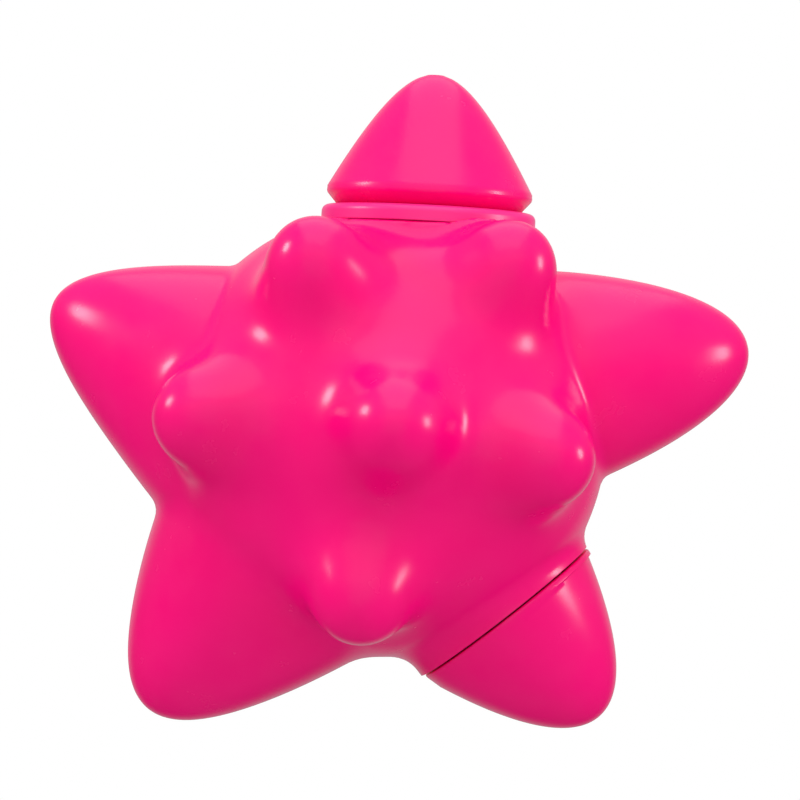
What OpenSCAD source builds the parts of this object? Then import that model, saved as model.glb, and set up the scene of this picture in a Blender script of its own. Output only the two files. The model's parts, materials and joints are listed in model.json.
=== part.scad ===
// Hanging star pinata in soft moulded vinyl.
// A hollow ball carries five rounded arms, with six knobs on its front and six on its back.
// The top arm is a lid that plugs into the filling neck, and the lower right arm is a plug that
// comes off to let the sweets fall. A rope comes down through the lid and is tied to a steel bar
// across the filling neck.
// X is to the right seen from the front, Z is up along the lid's axis, and the front faces -Y.
// The origin is the middle of the hanging bar.

/* [Star] */
// Radius of the round middle
ball_r = 112; // [110:0.5:113]
// Distance from the ball's centre to the lid's axis, which stands to its right
lid_offset = 17; // [15:0.5:18]
// Thickness of the moulded vinyl
wall = 3; // [2.5:0.25:3.25]

/* [Knobs] */
// Height of a knob's tip above the ball
knob_h = 33; // [30:0.5:36]
// Radius of a knob's rounded tip
knob_nose = 22; // [20:0.5:24]

/* [Lid] */
// Height of the lid's tip above the ball's centre
lid_tip = 180.5; // [176:0.5:184]
// Radius of the lid's rounded tip
lid_nose = 17; // [16:0.5:18]
// Height of the lid's widest line above the ball's centre
lid_rim = 120; // [119:0.5:121]
// Radius of the rolled lip under the lid
lip_r = 53.5; // [53:0.25:54]

/* [Necks and plugs] */
// Radius of the bore in both necks
neck_bore = 42; // [41:0.25:42.5]
// Thickness of the necks' tubes
neck_wall = 3; // [2.5:0.25:3]
// Length of a plug beyond the end wall of its arm
plug_len = 15; // [14:0.5:15.5]

/* [Release arm] */
// Direction of the release arm's joint axis, in degrees from +X towards +Z
release_dir = 311; // [310:0.5:312]
// Distance from the ball's centre to the joint line, along that axis
release_out = 107.6; // [107:0.2:108.6]
// Distance from the ball's centre to that axis
release_offset = 7.3; // [6.5:0.1:8]
// Open gap at the joint line
release_gap = 1; // [0.6:0.1:1.4]

/* [Hanging] */
// Radius of the steel bar across the filling neck
bar_r = 3; // [2.5:0.25:3.25]
// Radius of the rope hole in the lid's tip
rope_r = 3.2; // [2.6:0.1:3.6]

/* [Hidden] */
$fn = 96;

// Overlap at faces that would otherwise touch, and a length beyond every part of an arm.
eps = 0.05;
far = 100;

// An arm is [bearing of its tip, reach of its tip, direction of its axis, nose radius, spread].
// Bearing and reach start at the ball's centre, and angles run from +X towards +Z. The spread
// is above 0 where the sides run out like a cone's, and below 0 where they close like an egg's.
left_arm = [161, 177.7, 155.5, 18, 0.13];
lower_left_arm = [232.4, 181.1, 232.6, 22, 0.035];
right_arm = [16.2, 187.6, 12.5, 20.2, -0.087];
released_arm = [310.5, 178, 315, 19.4, 0.034];
arm_root = 118;
lid_spread = 0.195;

// A front knob is [turn round the line of sight, tilt away from straight ahead].
knobs = [[35, 4], [114.5, 46.5], [55.5, 60.5], [175.5, 48.5], [-8.5, 45.5], [266, 38]];
knob_spread = -0.4;
knob_root = 60;

// Heights above the ball's centre along the lid's axis, from the lid's seat down to the bar.
neck_top = 113;
lid_gap = 0.2;
lid_under = neck_top + lid_gap;
lid_seat_r = lip_r - 8;
lip_h = 8;
lip_under = neck_top - lip_h;
bar_z = neck_top - 20;
bar_sunk = 0.5;
fill_neck_len = 25;
release_neck_len = 20;
collar_r = lip_r - 1.5;
collar_root = 50;
seam_dir = 202;
overrun = 2;
cut_h = 20;

// Neck and plug, from the neck's outside inwards.
neck_r = neck_bore + neck_wall;
bead_h = 3;
bead_r = neck_r + 1.5;
plug_gap = 0.6;
plug_r = neck_bore - plug_gap;
flange_r = plug_r + 2.5;
flange_h = 2.5;
web = 2.5;
groove_r = plug_r - 2;
groove_h = 4;
groove_z = 5 - plug_len;
plug_bore = groove_r - 2;
seal_fit = 0.05;
seal_slack = 0.1;
seal_round = 1.2;

// Grommet under the lid's nose.
grommet_boss = 6;
grommet_flange = 9;
grommet_flange_h = 2.5;
nose_inside = lid_nose - wall;
rope_hole_gap = 0.4;

vinyl = "deeppink";
rigid = "hotpink";

// Radius of a rounded cone at a depth below its tip.
function side_r(depth, nose, spread) = sqrt(2 * nose * depth + spread * depth * depth);

// Outline from the tip at the origin down to a depth of root, moved inwards by the inset.
function side_points(root, nose, spread, inset, steps) = [
    for (i = [0:steps])
        let (depth = root * pow(i / steps, 2),
             r = side_r(depth, nose, spread),
             lean = nose + spread * depth,
             size = sqrt(r * r + lean * lean))
            [r - inset * r / size, -depth - inset * lean / size]
];

// Height inside the lid's nose at a distance from its axis.
function under_nose(r) = lid_tip - lid_nose + sqrt(nose_inside * nose_inside - r * r) - eps;

module rounded_cone(root, nose, spread, inset, steps) {
    points = side_points(root, nose, spread, inset, steps);
    rotate_extrude() polygon(concat(points, [[0, points[steps][1]]]));
}

// Places children at the ball's centre.
module at_ball() translate([-lid_offset, 0, -bar_z]) children();

// Places children on the lid's axis, level with the ball's centre.
module at_lid() translate([0, 0, -bar_z]) children();

// Places children at an arm's tip, with the arm's axis along +Z.
module at_arm(arm)
    at_ball() translate([arm[1] * cos(arm[0]), 0, arm[1] * sin(arm[0])])
        rotate([0, 90 - arm[2], 0]) children();

// Places children at a front knob's tip, with the knob's axis along +Z.
module at_knob(knob)
    at_ball() rotate([0, -knob[0], 0]) rotate([90, 0, knob[1]])
        translate([0, 0, ball_r + knob_h]) children();

// Places children on the release arm's joint line, with its joint axis along +Z.
module at_release()
    at_ball() rotate([0, 90 - release_dir, 0]) translate([release_offset, 0, release_out])
        children();

module arm(a, inset) at_arm(a) rounded_cone(arm_root, a[3], a[4], inset, 12);

module front_knobs(inset)
    for (k = knobs) at_knob(k) rounded_cone(knob_root, knob_nose, knob_spread, inset, 9);

// The sphere's poles point to the front and back, and its seam runs between two arms.
module ball(inset)
    at_ball() rotate([0, -seam_dir, 0]) rotate([90, 0, 0]) sphere(r = ball_r - inset);

// Ball, fixed arms, knobs, and the two collars that hold the necks, cut flat at their ends.
module star(inset) difference() {
    union() {
        ball(inset);
        for (a = [left_arm, lower_left_arm, right_arm]) arm(a, inset);
        at_release() translate([0, 0, -collar_root - inset])
            rotate([0, 0, 90]) cylinder(r = collar_r - inset, h = collar_root + overrun);
        at_lid() translate([0, 0, -inset]) cylinder(r = collar_r - inset, h = lip_under + overrun);
        front_knobs(inset);
        mirror([0, 1, 0]) front_knobs(inset);
    }
    at_release() translate([0, 0, -release_gap / 2 - inset])
        cylinder(r = collar_r + overrun, h = cut_h);
    at_lid() translate([0, 0, lip_under - inset]) cylinder(r = collar_r + overrun, h = cut_h);
}

module body_shell() color(vinyl) difference() {
    star(0);
    star(wall);
    at_lid() translate([0, 0, lip_under - 2 * wall]) cylinder(r = neck_r, h = 5 * wall);
    at_release() translate([0, 0, -2 * wall]) cylinder(r = neck_r, h = 5 * wall);
}

// Tube with its mouth at z = 0 and a bead that snaps behind the vinyl.
module neck_tube(length, bead_top) difference() {
    union() {
        translate([0, 0, -length]) cylinder(r = neck_r, h = length);
        translate([0, 0, bead_top - bead_h]) cylinder(r1 = neck_r, r2 = bead_r, h = bead_h);
    }
    translate([0, 0, -length - eps]) cylinder(r = neck_bore, h = length + 2 * eps);
}

// Lip round the mouth of the filling neck, rounded on its outer edge.
module rolled_lip() {
    round_r = lip_h / 2;
    rotate_extrude() polygon(concat(
        [[neck_bore, 0], [neck_bore, -lip_h]],
        [for (a = [-90:15:90]) [lip_r - round_r + round_r * cos(a), round_r * (sin(a) - 1)]]
    ));
}

module across_neck(length)
    translate([-length / 2, 0, 0]) rotate([0, 90, 0]) cylinder(r = bar_r, h = length);

module fill_neck() color(rigid) difference() {
    at_lid() translate([0, 0, neck_top]) {
        neck_tube(fill_neck_len, -lip_h - wall);
        rolled_lip();
    }
    across_neck(2 * bead_r);
}

module hang_bar() color("silver") across_neck(2 * (neck_r - bar_sunk));

module release_neck() color(rigid)
    at_release() translate([0, 0, -release_gap / 2]) neck_tube(release_neck_len, -wall);

// Tube that stands through its arm's end wall, which is between z = 0 and z = wall.
module plug(closed) difference() {
    union() {
        translate([0, 0, -plug_len]) cylinder(r = plug_r, h = plug_len + wall + flange_h);
        translate([0, 0, wall]) cylinder(r = flange_r, h = flange_h);
    }
    translate([0, 0, closed ? web - plug_len : -far]) cylinder(r = plug_bore, h = 2 * far);
    translate([0, 0, groove_z]) difference() {
        cylinder(r = neck_bore, h = groove_h);
        cylinder(r = groove_r, h = groove_h);
    }
}

// Rubber ring in the plug's groove, rounded where it meets the neck's bore.
module seal() {
    inner = groove_r + seal_slack;
    outer = neck_bore - seal_fit - seal_round;
    height = groove_h - 2 * seal_slack;
    translate([0, 0, groove_z + seal_slack]) rotate_extrude() polygon(concat(
        [[inner, height], [inner, 0]],
        [for (a = [-90:15:0]) [outer + seal_round * cos(a), seal_round * (1 + sin(a))]],
        [for (a = [0:15:90]) [outer + seal_round * cos(a), height + seal_round * (sin(a) - 1)]]
    ));
}

// Solid lid with its sides moved in by the inset, down to the bevel above its seat.
module lid_form(inset) {
    side = side_points(lid_tip - lid_rim - 2 * inset, lid_nose, lid_spread, inset, 16);
    rotate_extrude() polygon(concat(
        [for (p = side) [p[0], lid_tip + p[1]]],
        [[lid_seat_r - inset / 3, lid_under + inset], [0, lid_under + inset]]
    ));
}

module top_lid() color(vinyl) at_lid() difference() {
    lid_form(0);
    lid_form(wall);
    cylinder(r = plug_r, h = lid_rim);
    cylinder(r = rope_r + rope_hole_gap, h = lid_tip);
}

module at_lid_seat() at_lid() translate([0, 0, lid_under]) children();

module lid_plug() color(rigid) at_lid_seat() plug(closed = false);

module lid_seal() color("dimgray") at_lid_seat() seal();

module rope_grommet() color(rigid) at_lid() difference() {
    flange_top = under_nose(grommet_flange);
    union() {
        translate([0, 0, flange_top - grommet_flange_h])
            cylinder(r = grommet_flange, h = grommet_flange_h);
        translate([0, 0, flange_top - grommet_flange_h])
            cylinder(r = grommet_boss, h = under_nose(grommet_boss) - flange_top + grommet_flange_h);
    }
    cylinder(r = rope_r, h = lid_tip);
}

module release_side(depth) at_release() translate([0, 0, depth]) cylinder(r = far, h = 2 * far);

module release_arm() color(vinyl) difference() {
    intersection() {
        arm(released_arm, 0);
        release_side(release_gap / 2);
    }
    intersection() {
        arm(released_arm, wall);
        release_side(release_gap / 2 + wall);
    }
    at_release() cylinder(r = plug_r, h = 2 * wall);
}

module at_release_seat() at_release() translate([0, 0, release_gap / 2]) children();

module release_plug() color(rigid) at_release_seat() plug(closed = true);

module release_seal() color("dimgray") at_release_seat() seal();

body_shell();
fill_neck();
hang_bar();
release_neck();
top_lid();
lid_plug();
rope_grommet();
lid_seal();
release_arm();
release_plug();
release_seal();
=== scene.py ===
"""Looks of the hanging star pinata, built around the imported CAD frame.

The vinyl skins replace their plain CAD solids: the body is one smooth skin whose fillets come from
blended distance fields, the lid and the neck's lip are turned profiles, and the release arm is
built up from rings.
Lengths in the shape code are millimetres in the CAD's own frame, and MM turns them into metres.
"""

import json
import math

import bmesh
import bpy
import numpy as np
from mathutils import Matrix, Vector


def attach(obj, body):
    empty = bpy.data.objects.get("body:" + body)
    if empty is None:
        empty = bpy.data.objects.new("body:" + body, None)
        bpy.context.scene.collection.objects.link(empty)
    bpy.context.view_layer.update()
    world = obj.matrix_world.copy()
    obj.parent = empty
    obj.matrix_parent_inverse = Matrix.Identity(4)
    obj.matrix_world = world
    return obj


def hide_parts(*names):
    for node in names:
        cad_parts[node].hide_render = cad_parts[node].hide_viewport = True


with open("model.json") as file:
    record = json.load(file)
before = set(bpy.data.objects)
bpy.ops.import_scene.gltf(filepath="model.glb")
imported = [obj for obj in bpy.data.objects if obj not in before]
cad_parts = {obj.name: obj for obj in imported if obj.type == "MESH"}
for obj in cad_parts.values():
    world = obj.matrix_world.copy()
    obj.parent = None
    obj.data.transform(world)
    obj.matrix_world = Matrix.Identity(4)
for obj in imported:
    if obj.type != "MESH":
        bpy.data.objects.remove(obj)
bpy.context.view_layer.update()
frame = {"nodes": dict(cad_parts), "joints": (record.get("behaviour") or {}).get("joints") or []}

MM = 0.001

# ---------------------------------------------------------------- sizes, as in the CAD
BALL_R = 112.0
BALL = np.array([-17.0, 0.0, -93.0])
WALL = 3.0
LIP_R = 53.5
LIP_H = 8.0
NECK_R = 45.0
NECK_BORE = 42.0
NECK_LEN = 25.0
COLLAR_R = 52.6
PLUG_R = 41.4
NECK_TOP = BALL[2] + 113.0
SEAT_Z = NECK_TOP - LIP_H - 0.1  # where the neck's lip rests on the vinyl
LID_UNDER = NECK_TOP + 0.2
LID_TIP = BALL[2] + 180.5
LID_RIM = BALL[2] + 120.0
ROPE_HOLE_R = 3.6
COLLAR_DEPTH, COLLAR_LEN = 50.0, 60.0

# Arms: bearing and reach of the tip from the ball's centre, direction of the axis, nose, spread.
LEFT_ARM = (161.0, 177.7, 155.5, 18.0, 0.13)
LOWER_LEFT_ARM = (232.4, 181.1, 232.6, 22.0, 0.035)
RIGHT_ARM = (16.2, 187.6, 12.5, 20.2, -0.087)
RELEASE_ARM = (310.5, 178.0, 315.0, 20.3, -0.035)
ARM_ROOT = 118.0
LID_NOSE, LID_SPREAD = 17.0, 0.195

# Front knobs: turn round the line of sight, and tilt away from straight ahead.
KNOBS = [(35.0, 3.5), (114.5, 46.5), (56.0, 56.5), (177.5, 46.5), (-5.0, 41.0), (265.5, 40.0)]
KNOB_H, KNOB_NOSE, KNOB_SPREAD, KNOB_ROOT = 33.0, 20.5, -0.5, 60.0

RELEASE_JOINT = next(j for j in frame["joints"] if j["name"] == "release_pull")
RELEASE_AXIS = np.array(RELEASE_JOINT["axis"], float)
RELEASE_SIDE = np.array([RELEASE_AXIS[2], 0.0, -RELEASE_AXIS[0]])
RELEASE_OUT, RELEASE_OFFSET, RELEASE_GAP = 107.6, 7.3, 1.0
RELEASE_SEAT = BALL + RELEASE_OUT * RELEASE_AXIS + RELEASE_OFFSET * RELEASE_SIDE
RELEASE_END = RELEASE_SEAT - RELEASE_AXIS * RELEASE_GAP / 2

# Widths over which shapes run into each other.
LEFT_FILLET, LOWER_LEFT_FILLET, RIGHT_FILLET = 2.5, 5.0, 3.5
RELEASE_FILLET, LID_FILLET, KNOB_FILLET, SEAT_FILLET = 8.0, 7.0, 19.0, 2.0

# The lip's seat is a hair wider than the lip, and opens out above it.
SEAT_CLEAR, SEAT_SLOPE = 0.15, 0.7
FIT = 0.05  # between a neck's tube and the vinyl round it
WAVE_DEPTH = 0.5  # how far the mould's unevenness goes in
GRID_STEP = 2.2
SKIN_LOW = np.array([-200.0, -158.0, -250.0])
SKIN_HIGH = np.array([180.0, 158.0, 36.0])
SEGMENTS = 192
SHARP = math.radians(40)  # corners sharper than this aren't shaded smooth


# ---------------------------------------------------------------- distance fields
def in_plane(angle):
    """Unit vector in the star's plane, at an angle from +X towards +Z."""
    a = math.radians(angle)
    return np.array([math.cos(a), 0.0, math.sin(a)])


def smooth_union(a, b, width):
    """Nearer of two distances, with a fillet where they differ by less than the width."""
    blend = np.maximum(width - np.abs(a - b), 0.0) / width
    return np.minimum(a, b) - blend * blend * width / 4


def rounded_cone(p, tip, axis, nose, spread, root):
    """Signed distance, near enough, to a cone with a round nose at tip that points along axis."""
    q = p - tip
    depth = -(q @ axis)
    side = np.sqrt(np.maximum((q * q).sum(-1) - depth * depth, 0.0))
    value = side * side - (2 * nose * depth + spread * depth * depth)
    slope = 2 * np.hypot(side, nose + spread * depth)
    return np.maximum(value / np.maximum(slope, 1e-6), depth - root)


def capped_cylinder(p, base, axis, radius, height):
    """Signed distance, near enough, to a cylinder that stands on its base."""
    q = p - base
    along = q @ axis
    side = np.sqrt(np.maximum((q * q).sum(-1) - along * along, 0.0))
    return np.maximum(side - radius, np.maximum(-along, along - height))


def arm_field(p, arm):
    bearing, reach, direction, nose, spread = arm
    tip = BALL + reach * in_plane(bearing)
    return rounded_cone(p, tip, in_plane(direction), nose, spread, ARM_ROOT)


def knob_axis(turn, tilt, side):
    """Unit vector along a knob. side is -1 for the front and 1 for the back."""
    a, t = math.radians(turn), math.radians(tilt)
    return np.array([math.sin(t) * math.cos(a), side * math.cos(t), math.sin(t) * math.sin(a)])


def waviness(p):
    """Slow hand-worked unevenness of the mould, 0 to 1."""
    x, y, z = p[..., 0], p[..., 1], p[..., 2]
    total = (np.sin(x * 0.061 + 1.3 * np.sin(y * 0.037 + 0.7) + 0.4)
             + np.sin(y * 0.055 + 1.1 * np.sin(z * 0.043 + 2.1) + 1.9)
             + np.sin(z * 0.067 + 1.2 * np.sin(x * 0.041 + 4.2) + 3.1))
    return 0.5 + total / 6


def star_field(p):
    """Below 0 inside the body: its ball, collars, arms and knobs, less the seat for the lip."""
    d = np.linalg.norm(p - BALL, axis=-1) - BALL_R
    up = np.array([0.0, 0.0, 1.0])
    collar = capped_cylinder(p, np.array([0.0, 0.0, BALL[2]]), up, LIP_R, NECK_TOP - BALL[2])
    d = smooth_union(d, collar, LID_FILLET)
    base = RELEASE_SEAT - COLLAR_DEPTH * RELEASE_AXIS
    collar = capped_cylinder(p, base, RELEASE_AXIS, COLLAR_R, COLLAR_LEN)
    d = smooth_union(d, collar, RELEASE_FILLET)
    d = smooth_union(d, arm_field(p, LEFT_ARM), LEFT_FILLET)
    d = smooth_union(d, arm_field(p, LOWER_LEFT_ARM), LOWER_LEFT_FILLET)
    d = smooth_union(d, arm_field(p, RIGHT_ARM), RIGHT_FILLET)
    for turn, tilt in KNOBS:
        for side in (-1, 1):
            axis = knob_axis(turn, tilt, side)
            tip = BALL + (BALL_R + KNOB_H) * axis
            knob = rounded_cone(p, tip, axis, KNOB_NOSE, KNOB_SPREAD, KNOB_ROOT)
            d = smooth_union(d, knob, KNOB_FILLET)
    d = d + WAVE_DEPTH * waviness(p)
    side = np.hypot(p[..., 0], p[..., 1])
    above = p[..., 2] - SEAT_Z
    flare = (side - (LIP_R + SEAT_CLEAR) - SEAT_SLOPE * np.maximum(above, 0.0)) * 0.8
    return -smooth_union(-d, np.maximum(flare, -above), SEAT_FILLET)


def gradient(field, p, reach=0.05):
    """Slope of a field at each point."""
    slope = np.empty_like(p)
    for i in range(3):
        shift = np.zeros(3)
        shift[i] = reach
        slope[:, i] = (field(p + shift) - field(p - shift)) / (2 * reach)
    return slope


# ---------------------------------------------------------------- skin of a field
def surface_net(field, low, high, step):
    """Quads round the solid where field is below 0, with their points moved onto its surface."""
    axes = [np.arange(low[i], high[i] + step, step) for i in range(3)]
    values = np.stack([
        field(np.stack(np.meshgrid([x], axes[1], axes[2], indexing="ij"), -1)[0]) for x in axes[0]
    ])
    inside = values < 0
    size = np.array(values.shape) - 1
    total = np.zeros(tuple(size) + (3,))
    count = np.zeros(tuple(size))
    grid = np.stack(np.meshgrid(*axes, indexing="ij"), -1)
    crossings = []
    for a in range(3):
        lo = tuple(slice(0, -1) if i == a else slice(None) for i in range(3))
        hi = tuple(slice(1, None) if i == a else slice(None) for i in range(3))
        cross = np.argwhere(inside[lo] != inside[hi])
        i, j, k = cross.T
        v0 = values[lo][i, j, k]
        v1 = values[hi][i, j, k]
        point = grid[i, j, k].copy()
        point[:, a] += step * v0 / (v0 - v1)
        crossings.append((a, cross, inside[lo][i, j, k]))
        b, c = (a + 1) % 3, (a + 2) % 3
        for db in (0, 1):
            for dc in (0, 1):
                cell = cross.copy()
                cell[:, b] -= db
                cell[:, c] -= dc
                ok = np.all((cell >= 0) & (cell < size), axis=1)
                np.add.at(total, tuple(cell[ok].T), point[ok])
                np.add.at(count, tuple(cell[ok].T), 1)
    used = count > 0
    index = -np.ones(tuple(size), int)
    index[used] = np.arange(used.sum())
    points = total[used] / count[used][:, None]
    quads = []
    for a, cross, start_inside in crossings:
        b, c = (a + 1) % 3, (a + 2) % 3
        corners = []
        for db, dc in ((1, 1), (0, 1), (0, 0), (1, 0)):
            cell = cross.copy()
            cell[:, b] -= db
            cell[:, c] -= dc
            corners.append(cell)
        ok = np.all([np.all((x >= 0) & (x < size), axis=1) for x in corners], axis=0)
        quad = np.stack([index[tuple(x[ok].T)] for x in corners], 1)
        quads.append(np.where(start_inside[ok][:, None], quad, quad[:, ::-1]))
    return points, np.concatenate(quads)


def settle(field, points, rounds=4, longest=1.5):
    """Points moved along the field's slope onto its surface."""
    for _ in range(rounds):
        slope = gradient(field, points)
        move = field(points) / np.maximum((slope * slope).sum(1), 0.25)
        points = points - np.clip(move, -longest, longest)[:, None] * slope
    return points


def outward(field, points):
    """Unit normals of a field at points on its surface."""
    slope = gradient(field, points)
    return slope / np.maximum(np.linalg.norm(slope, axis=1), 1e-9)[:, None]


def flattened(vectors, axis):
    """Unit vectors, with their part along an axis taken out first."""
    across = vectors - (vectors @ axis)[:, None] * axis
    return across / np.linalg.norm(across, axis=1)[:, None]


# ---------------------------------------------------------------- meshes
def new_object(name, points_mm, faces, normals=None):
    """Mesh object from millimetre points. normals gives one direction per face corner."""
    mesh = bpy.data.meshes.new(name)
    mesh.from_pydata((np.asarray(points_mm) * MM).tolist(), [], [list(f) for f in faces])
    mesh.update()
    mesh.polygons.foreach_set("use_smooth", [True] * len(mesh.polygons))
    if normals is not None:
        mesh.normals_split_custom_set([tuple(n) for n in normals])
    obj = bpy.data.objects.new(name, mesh)
    bpy.context.scene.collection.objects.link(obj)
    return obj


def boundary_loops(faces):
    """Open edges of the faces, joined end to end into rings of point numbers."""
    edges = {}
    for f in faces:
        for i, a in enumerate(f):
            b = f[(i + 1) % len(f)]
            edges[(a, b)] = True
    after = {a: b for a, b in edges if (b, a) not in edges}
    loops = []
    while after:
        start = next(iter(after))
        ring = [start]
        at = after.pop(start)
        while at != start:
            ring.append(at)
            at = after.pop(at)
        loops.append(ring)
    return loops


def cut_plane(points, faces, origin, axis):
    """The faces behind a plane, with the ones across it cut flat."""
    bm = bmesh.new()
    verts = [bm.verts.new(p) for p in points]
    for f in faces:
        bm.faces.new([verts[i] for i in f])
    geom = bm.verts[:] + bm.edges[:] + bm.faces[:]
    bmesh.ops.bisect_plane(bm, geom=geom, dist=1e-3, plane_co=origin, plane_no=axis, clear_outer=True)
    bm.verts.index_update()
    out_points = np.array([v.co[:] for v in bm.verts])
    out_faces = [[v.index for v in f.verts] for f in bm.faces]
    bm.free()
    return out_points, out_faces


def used_only(points, faces):
    """The points that the faces use, and the faces renumbered to match."""
    keep = np.zeros(len(points), bool)
    for f in faces:
        keep[list(f)] = True
    number = np.cumsum(keep) - 1
    return points[keep], [[int(number[i]) for i in f] for f in faces]


def outer_skin():
    """The body's outside, open at both necks, and the rings of point numbers at its openings."""
    points, faces = surface_net(star_field, SKIN_LOW, SKIN_HIGH, GRID_STEP)
    points = settle(star_field, points)
    points, faces = cut_plane(points, faces, RELEASE_END, RELEASE_AXIS)
    side = np.hypot(points[:, 0], points[:, 1])
    hole = (side < NECK_R + 1.5) & (points[:, 2] > SEAT_Z - 4)
    faces = [f for f in faces if not any(hole[i] for i in f)]
    points, faces = used_only(points, faces)
    loops = sorted(boundary_loops(faces), key=len)[-2:]
    release_loop, lid_loop = sorted(loops, key=lambda loop: points[loop][:, 2].mean())
    # The edge of the lid's hole is drawn in to the neck's tube.
    ring = points[lid_loop]
    reach = np.hypot(ring[:, 0], ring[:, 1])[:, None]
    points[lid_loop, :2] = ring[:, :2] * (NECK_R + FIT) / reach
    points[lid_loop, 2] = SEAT_Z
    return points, faces, release_loop, lid_loop


def body_skin():
    """The body's outer skin, its inner side one wall in, and turned-in rims at both openings."""
    points, faces, release_loop, lid_loop = outer_skin()
    normals = outward(star_field, points)
    normals[lid_loop] = (0, 0, 1)
    inward = normals.copy()
    inward[release_loop] = flattened(normals[release_loop], RELEASE_AXIS)
    inner = points - WALL * inward
    around = flattened(points[release_loop] - RELEASE_END, RELEASE_AXIS)
    bore = RELEASE_END + around * (NECK_R + FIT)
    every_point = np.concatenate([points, inner, bore, bore - WALL * RELEASE_AXIS])
    count, rim = len(points), len(release_loop)

    every_face = [list(f) for f in faces]
    corners = [normals[i] for f in faces for i in f]
    for f in faces:
        every_face.append([i + count for i in reversed(f)])
        corners += [-inward[i] for i in reversed(f)]
    for k, a in enumerate(lid_loop):
        b = lid_loop[(k + 1) % len(lid_loop)]
        middle = every_point[a] + every_point[b]
        to_axis = -np.array([middle[0], middle[1], 0.0])
        every_face.append([b, a, a + count, b + count])
        corners += [to_axis / np.linalg.norm(to_axis)] * 4
    for k, a in enumerate(release_loop):
        after = (k + 1) % rim
        b = release_loop[after]
        mouth_a, mouth_b = 2 * count + k, 2 * count + after
        root_a, root_b = mouth_a + rim, mouth_b + rim
        every_face.append([b, a, mouth_a, mouth_b])
        corners += [RELEASE_AXIS] * 4
        every_face.append([mouth_b, mouth_a, root_a, root_b])
        corners += [-around[after], -around[k], -around[k], -around[after]]
        every_face.append([root_b, root_a, a + count, b + count])
        corners += [-RELEASE_AXIS] * 4
    return new_object("body_skin", every_point, every_face, corners)


def bands(count, around, flip=False):
    """Quads between rings of equal length that follow each other."""
    faces = []
    for i in range(count - 1):
        low, high = i * around, (i + 1) * around
        for k in range(around):
            after = (k + 1) % around
            quad = [low + k, low + after, high + after, high + k]
            faces.append([quad[0], quad[3], quad[2], quad[1]] if flip else quad)
    return faces


def rings_mesh(name, rings):
    """Mesh through rings of equal length, joined in order and back to the first."""
    count, around = len(rings), len(rings[0])
    faces = [[i % (count * around) for i in face] for face in bands(count + 1, around)]
    return new_object(name, np.concatenate(rings), faces)


def arc(cx, cz, r, start, stop, steps):
    """Profile points along an arc, with angles in degrees from outwards towards up."""
    return [(cx + r * math.cos(math.radians(a)), cz + r * math.sin(math.radians(a)))
            for a in np.linspace(start, stop, steps)]


def turned(name, profile):
    """A closed profile of (radius, height) turned round the Z axis."""
    angle = np.linspace(0, 2 * np.pi, SEGMENTS, endpoint=False)
    rings = [np.stack([r * np.cos(angle), r * np.sin(angle), np.full(SEGMENTS, z)], 1)
             for r, z in profile]
    obj = rings_mesh(name, rings)
    obj.data.set_sharp_from_angle(angle=SHARP)
    return obj


def side_profile(root, nose, spread, inset, start, steps):
    """Outline of a rounded cone from near its axis down to the root, as (radius, depth)."""
    out = []
    for t in np.linspace(start, 1, steps):
        depth = root * t * t
        r = math.sqrt(2 * nose * depth + spread * depth * depth)
        lean = nose + spread * depth
        size = math.hypot(r, lean)
        out.append((r - inset * r / size, depth + inset * lean / size))
    return out


def lid_skin():
    """The lid: a rounded cone with a rolled rim, hollow, with holes for its plug and the rope."""
    depth = LID_TIP - LID_RIM
    outside = [(r, LID_TIP - d)
               for r, d in side_profile(depth - 2.5, LID_NOSE, LID_SPREAD, 0, 0.19, 60)]
    inside = [(r, LID_TIP - d)
              for r, d in side_profile(depth - 6, LID_NOSE, LID_SPREAD, WALL, 0.23, 40)]
    edge_r, edge_z = outside[-1]
    rim = arc(edge_r - 2.9, edge_z - 2.0, 3.0, 15, -42, 9)
    seat = [(LIP_R - 7.2, LID_UNDER + 0.4), (LIP_R - 8.4, LID_UNDER)]
    plug_hole = [(PLUG_R, LID_UNDER), (PLUG_R, LID_UNDER + WALL), (LIP_R - 9.5, LID_UNDER + WALL)]
    rope_hole = [(ROPE_HOLE_R, inside[0][1]), (ROPE_HOLE_R, LID_TIP - 0.9),
                 (ROPE_HOLE_R + 0.5, LID_TIP - 0.45)]
    profile = outside + rim + seat + plug_hole + inside[::-1] + rope_hole
    return turned("lid_skin", profile[::-1])


def lip_ring():
    """The filling neck: its rolled lip, its tube and the bead that snaps under the vinyl."""
    low = NECK_TOP - NECK_LEN
    under = NECK_TOP - LIP_H
    bead = under - WALL
    profile = [(NECK_BORE + 0.6, NECK_TOP)]
    profile += arc(LIP_R - 3.5, NECK_TOP - 3.5, 3.5, 90, 0, 16)
    profile += [(LIP_R, under + 0.3), (LIP_R - 0.3, under), (NECK_R, under)]
    profile += [(NECK_R, bead), (NECK_R + 1.5, bead - 0.05), (NECK_R, bead - 3)]
    profile += [(NECK_R, low + 0.6), (NECK_R - 0.6, low), (NECK_BORE + 0.6, low)]
    profile += [(NECK_BORE, low + 0.6), (NECK_BORE, NECK_TOP - 0.6)]
    return turned("neck_lip", profile[::-1])


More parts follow.
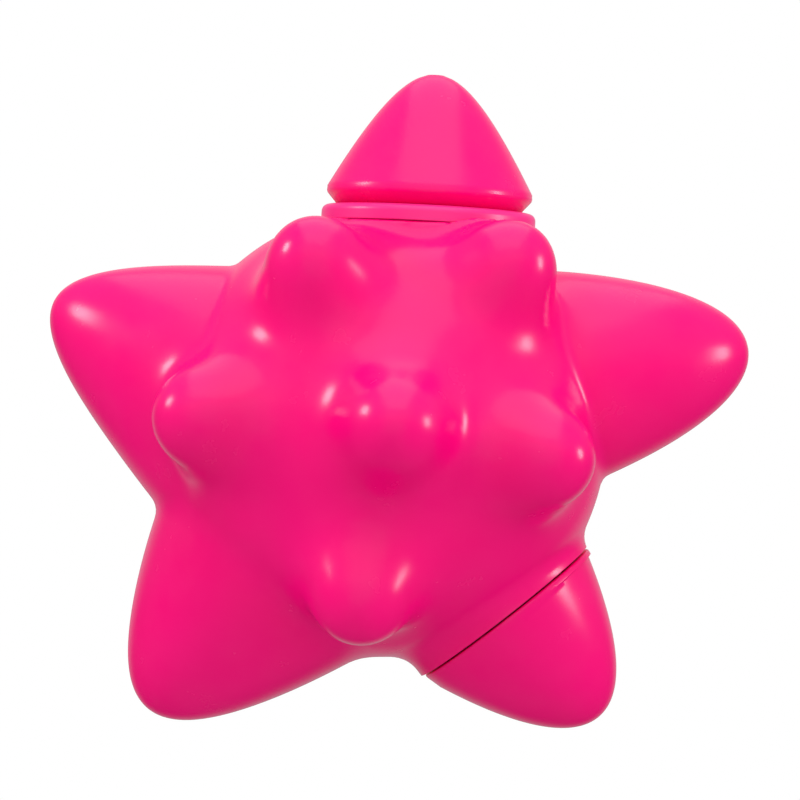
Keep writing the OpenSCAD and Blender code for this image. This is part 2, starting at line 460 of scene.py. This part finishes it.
def release_skin():
    """The release arm: rings from its tip down to the joint line, and back up inside its wall."""
    bearing, reach, direction, nose, spread = RELEASE_ARM
    tip = BALL + reach * in_plane(bearing)
    axis = in_plane(direction)
    seat = RELEASE_SEAT + RELEASE_AXIS * RELEASE_GAP / 2
    angle = np.linspace(0, 2 * np.pi, SEGMENTS, endpoint=False)
    cosine, sine = np.cos(angle)[:, None], np.sin(angle)[:, None]
    across = np.array([axis[2], 0.0, -axis[0]])
    rearward = np.array([0.0, 1.0, 0.0])

    def ring(radius, depth):
        return tip - depth * axis + radius * (cosine * across + sine * rearward)

    def seated(points, height):
        """Points slid along the arm's axis onto the plane at a height above the seat."""
        gap = (points - seat) @ RELEASE_AXIS - height
        return points - (gap / (axis @ RELEASE_AXIS))[:, None] * axis

    def plug_ring(height):
        spin = cosine * RELEASE_SIDE + sine * rearward
        return seat + height * RELEASE_AXIS + PLUG_R * spin

    full = float((tip - seat) @ RELEASE_AXIS / (axis @ RELEASE_AXIS))
    rings = [ring(r, d) for r, d in side_profile(full - 6, nose, spread, 0, 0.0, 70)[1:]]
    edge = side_profile(full, nose, spread, 0, 1.0, 1)[0][0]
    # The outer edge at the joint line is rounded: each step is (height above the seat, inset).
    for lift, back in ((3.0, 0.0), (1.6, 0.05), (0.8, 0.25), (0.3, 0.6), (0.0, 1.3)):
        rings.append(seated(ring(edge - back - 0.25 * lift, full - lift), lift))
    rings += [plug_ring(0.0), plug_ring(WALL)]
    rings.append(seated(ring(edge - WALL - 1.5, full - WALL), WALL))
    rings += [ring(r, d) for r, d in side_profile(full - 8, nose, spread, WALL, 0.0, 40)[:0:-1]]

    points = np.concatenate(rings + [np.array([tip, tip - WALL * axis])])
    faces = bands(len(rings), SEGMENTS, flip=True)
    outer_tip, inner_tip = len(points) - 2, len(points) - 1
    last = (len(rings) - 1) * SEGMENTS
    for k in range(SEGMENTS):
        after = (k + 1) % SEGMENTS
        faces.append([outer_tip, k, after])
        faces.append([inner_tip, last + after, last + k])
    obj = new_object("release_skin", points, faces)
    obj.data.set_sharp_from_angle(angle=SHARP)
    return obj


# ---------------------------------------------------------------- materials
def node_material(name):
    """New material, with its nodes, its links and its shader."""
    material = bpy.data.materials.new(name)
    material.use_nodes = True
    nodes, links = material.node_tree.nodes, material.node_tree.links
    return material, nodes, links, nodes["Principled BSDF"]


def noise(nodes, links, coords, scale, detail, rough=0.5):
    texture = nodes.new("ShaderNodeTexNoise")
    texture.inputs["Scale"].default_value = scale
    texture.inputs["Detail"].default_value = detail
    texture.inputs["Roughness"].default_value = rough
    links.new(coords, texture.inputs["Vector"])
    return texture.outputs["Fac"]


def mottled(nodes, links, bsdf, scale, detail, dark, light):
    """Gives the shader a base colour that drifts between two tones. Returns the coordinates."""
    coords = nodes.new("ShaderNodeTexCoord").outputs["Object"]
    ramp = nodes.new("ShaderNodeValToRGB")
    low, high = ramp.color_ramp.elements
    low.position, low.color = 0.3, (*dark, 1)
    high.position, high.color = 0.7, (*light, 1)
    links.new(noise(nodes, links, coords, scale, detail), ramp.inputs["Fac"])
    links.new(ramp.outputs["Color"], bsdf.inputs["Base Color"])
    return coords


def bump(nodes, links, height, distance, strength, normal=None):
    relief = nodes.new("ShaderNodeBump")
    relief.inputs["Distance"].default_value = distance
    relief.inputs["Strength"].default_value = strength
    links.new(height, relief.inputs["Height"])
    if normal is not None:
        links.new(normal, relief.inputs["Normal"])
    return relief.outputs["Normal"]


def vinyl_material():
    """Hot pink glossy soft vinyl with slow waves, a fine skin texture and faint mottling."""
    material, nodes, links, bsdf = node_material("pink_vinyl")
    coords = mottled(nodes, links, bsdf, 14.0, 3.0, (0.94, 0.0, 0.18), (0.97, 0.0, 0.195))
    rough = nodes.new("ShaderNodeMapRange")
    rough.inputs["From Min"].default_value = 0.3
    rough.inputs["From Max"].default_value = 0.7
    rough.inputs["To Min"].default_value = 0.2
    rough.inputs["To Max"].default_value = 0.28
    links.new(noise(nodes, links, coords, 45.0, 4.0, 0.6), rough.inputs["Value"])
    links.new(rough.outputs["Result"], bsdf.inputs["Roughness"])
    bsdf.inputs["IOR"].default_value = 1.43
    waves = bump(nodes, links, noise(nodes, links, coords, 22.0, 1.0), 0.0008, 0.5)
    skin = bump(nodes, links, noise(nodes, links, coords, 700.0, 2.0), 0.00003, 0.5, waves)
    links.new(skin, bsdf.inputs["Normal"])
    return material


def rigid_material():
    """Hard plastic in the vinyl's pink, a little duller, with a fine moulded grain."""
    material, nodes, links, bsdf = node_material("pink_rigid_plastic")
    coords = mottled(nodes, links, bsdf, 30.0, 3.0, (0.92, 0.012, 0.235), (0.96, 0.018, 0.26))
    bsdf.inputs["Roughness"].default_value = 0.32
    grain = bump(nodes, links, noise(nodes, links, coords, 1400.0, 2.0), 0.00002, 0.4)
    links.new(grain, bsdf.inputs["Normal"])
    return material


def steel_material():
    material, nodes, links, bsdf = node_material("zinc_plated_steel")
    mottled(nodes, links, bsdf, 260.0, 4.0, (0.55, 0.56, 0.58), (0.7, 0.71, 0.73))
    bsdf.inputs["Metallic"].default_value = 1.0
    bsdf.inputs["Roughness"].default_value = 0.3
    return material


def rubber_material():
    material, nodes, links, bsdf = node_material("black_rubber")
    mottled(nodes, links, bsdf, 300.0, 3.0, (0.012, 0.012, 0.013), (0.022, 0.022, 0.024))
    bsdf.inputs["Roughness"].default_value = 0.6
    return material


def floor_material():
    material, nodes, links, bsdf = node_material("pale_floor")
    mottled(nodes, links, bsdf, 2.0, 2.0, (0.93, 0.93, 0.93), (0.95, 0.95, 0.95))
    bsdf.inputs["Roughness"].default_value = 0.9
    return material


# ---------------------------------------------------------------- pieces
VINYL, RIGID = vinyl_material(), rigid_material()
STEEL, RUBBER = steel_material(), rubber_material()


def piece(obj, body, slot, material, *nodes):
    """Gives a new mesh its material, and its place in the frame instead of the CAD nodes."""
    obj.data.materials.append(material)
    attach(obj, body)
    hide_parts(*nodes)
    return obj


piece(body_skin(), "body", "vinyl", VINYL, "body_shell")
piece(lip_ring(), "body", "rigid_plastic", RIGID, "fill_neck")
piece(lid_skin(), "lid", "vinyl", VINYL, "top_lid")
piece(release_skin(), "release", "vinyl", VINYL, "release_arm")

# CAD nodes that are shown as they are, with these materials.
CARRIED = {"hang_bar": STEEL, "release_neck": RIGID, "lid_plug": RIGID, "rope_grommet": RIGID,
           "lid_seal": RUBBER, "release_plug": RIGID, "release_seal": RUBBER}
for node, material in CARRIED.items():
    mesh = frame["nodes"][node].data
    mesh.materials.clear()
    mesh.materials.append(material)


# ---------------------------------------------------------------- floor, light, camera
FLOOR_R, FLOOR_Z, FLOOR_SIDES = 1300.0, -430.0, 96


def floor_disc():
    angle = np.linspace(0, 2 * np.pi, FLOOR_SIDES, endpoint=False)
    height = np.full(FLOOR_SIDES, FLOOR_Z)
    points = np.stack([FLOOR_R * np.cos(angle), FLOOR_R * np.sin(angle), height], 1)
    disc = new_object("floor", points, [range(FLOOR_SIDES)])
    disc.data.materials.append(floor_material())
    # The studio's world lights the underside evenly instead of the floor's own bounce.
    disc.visible_glossy = False
    disc.visible_diffuse = False
    return disc


floor_disc()


def area_light(name, place, target, size, power):
    data = bpy.data.lights.new(name, "AREA")
    data.shape = "RECTANGLE"
    data.size, data.size_y = size
    data.energy = power
    light = bpy.data.objects.new(name, data)
    light.location = place
    light.rotation_euler = (Vector(target) - Vector(place)).to_track_quat("-Z", "Y").to_euler()
    bpy.context.scene.collection.objects.link(light)
    return light


def faded(nodes, links, value, span, ends):
    """A value carried smoothly from ends[0] to ends[1] over a span."""
    fade = nodes.new("ShaderNodeMapRange")
    fade.interpolation_type = "SMOOTHSTEP"
    fade.inputs["From Min"].default_value, fade.inputs["From Max"].default_value = span
    fade.inputs["To Min"].default_value, fade.inputs["To Max"].default_value = ends
    links.new(value, fade.inputs["Value"])
    return fade.outputs["Result"]


def summed(nodes, links, first, second):
    add = nodes.new("ShaderNodeMath")
    add.operation = "ADD"
    links.new(first, add.inputs[0])
    links.new(second, add.inputs[1])
    return add.outputs["Value"]


def studio_world(front, top, back, ambient):
    """White to the camera, even light to matt surfaces, and dim with a bright back in reflections."""
    world = bpy.data.worlds.new("studio")
    world.use_nodes = True
    nodes, links = world.node_tree.nodes, world.node_tree.links
    split = nodes.new("ShaderNodeSeparateXYZ")
    links.new(nodes.new("ShaderNodeTexCoord").outputs["Generated"], split.inputs["Vector"])
    path = nodes.new("ShaderNodeLightPath")
    behind = faded(nodes, links, split.outputs["Y"], (0.6, 1.0), (0.0, back))
    above = faded(nodes, links, split.outputs["Z"], (-0.1, 0.6), (front, top))
    matt = faded(nodes, links, path.outputs["Is Glossy Ray"], (0.0, 1.0), (ambient, 0.0))
    strength = summed(nodes, links, summed(nodes, links, behind, above), matt)
    plain, shaded = nodes["Background"], nodes.new("ShaderNodeBackground")
    for shader in (plain, shaded):
        shader.inputs["Color"].default_value = (1, 1, 1, 1)
    links.new(strength, shaded.inputs["Strength"])
    mix = nodes.new("ShaderNodeMixShader")
    links.new(path.outputs["Is Camera Ray"], mix.inputs[0])
    links.new(shaded.outputs["Background"], mix.inputs[1])
    links.new(plain.outputs["Background"], mix.inputs[2])
    links.new(mix.outputs["Shader"], nodes["World Output"].inputs["Surface"])
    return world


MIDDLE = Vector((-0.011, 0.0, -0.093))


def direction(right, up, distance):
    """A place seen from the middle, in degrees to the right of the camera and above it."""
    turn, rise = math.radians(right), math.radians(up)
    ray = Vector((math.sin(turn) * math.cos(rise), -math.cos(turn) * math.cos(rise), math.sin(rise)))
    return MIDDLE + distance * ray


OVERHEAD = Vector((0.0, -0.1, 1.3))
BELOW_IT = MIDDLE + Vector((0.0, -0.1, 0.0))
area_light("overhead", MIDDLE + OVERHEAD, BELOW_IT, (1.3, 2.4), 8)
area_light("front_top", direction(0, 50, 1.6), MIDDLE, (2.4, 1.6), 2.0)
area_light("front_left", direction(-82, 26, 1.9), MIDDLE, (0.4, 0.45), 9)
area_light("front_right", direction(80, 12, 1.9), MIDDLE, (0.4, 0.5), 8)
fill = area_light("fill", direction(0, 12, 1.6), MIDDLE, (1.6, 1.6), 4.5)
fill.visible_glossy = False
bpy.context.scene.world = studio_world(0.03, 0.2, 0.45, 0.66)
bpy.context.scene.view_settings.view_transform = "Standard"

CAMERA_DISTANCE, FRAME_WIDTH, SENSOR = 2.0, 0.4, 36.0
AIM = Vector((-0.0094, 0.0, -0.0759))
ROLL = 3.0


def studio_camera():
    """Level camera in front, rolled so that the lid leans as it does in the photograph."""
    data = bpy.data.cameras.new("camera")
    data.sensor_width = SENSOR
    data.lens = SENSOR * CAMERA_DISTANCE / FRAME_WIDTH
    camera = bpy.data.objects.new("camera", data)
    level = Matrix.Rotation(math.radians(90), 4, "X")
    turn = level @ Matrix.Rotation(math.radians(ROLL), 4, "Z")
    camera.matrix_world = Matrix.Translation(AIM + Vector((0, -CAMERA_DISTANCE, 0))) @ turn
    bpy.context.scene.collection.objects.link(camera)
    return camera


bpy.context.scene.camera = studio_camera()
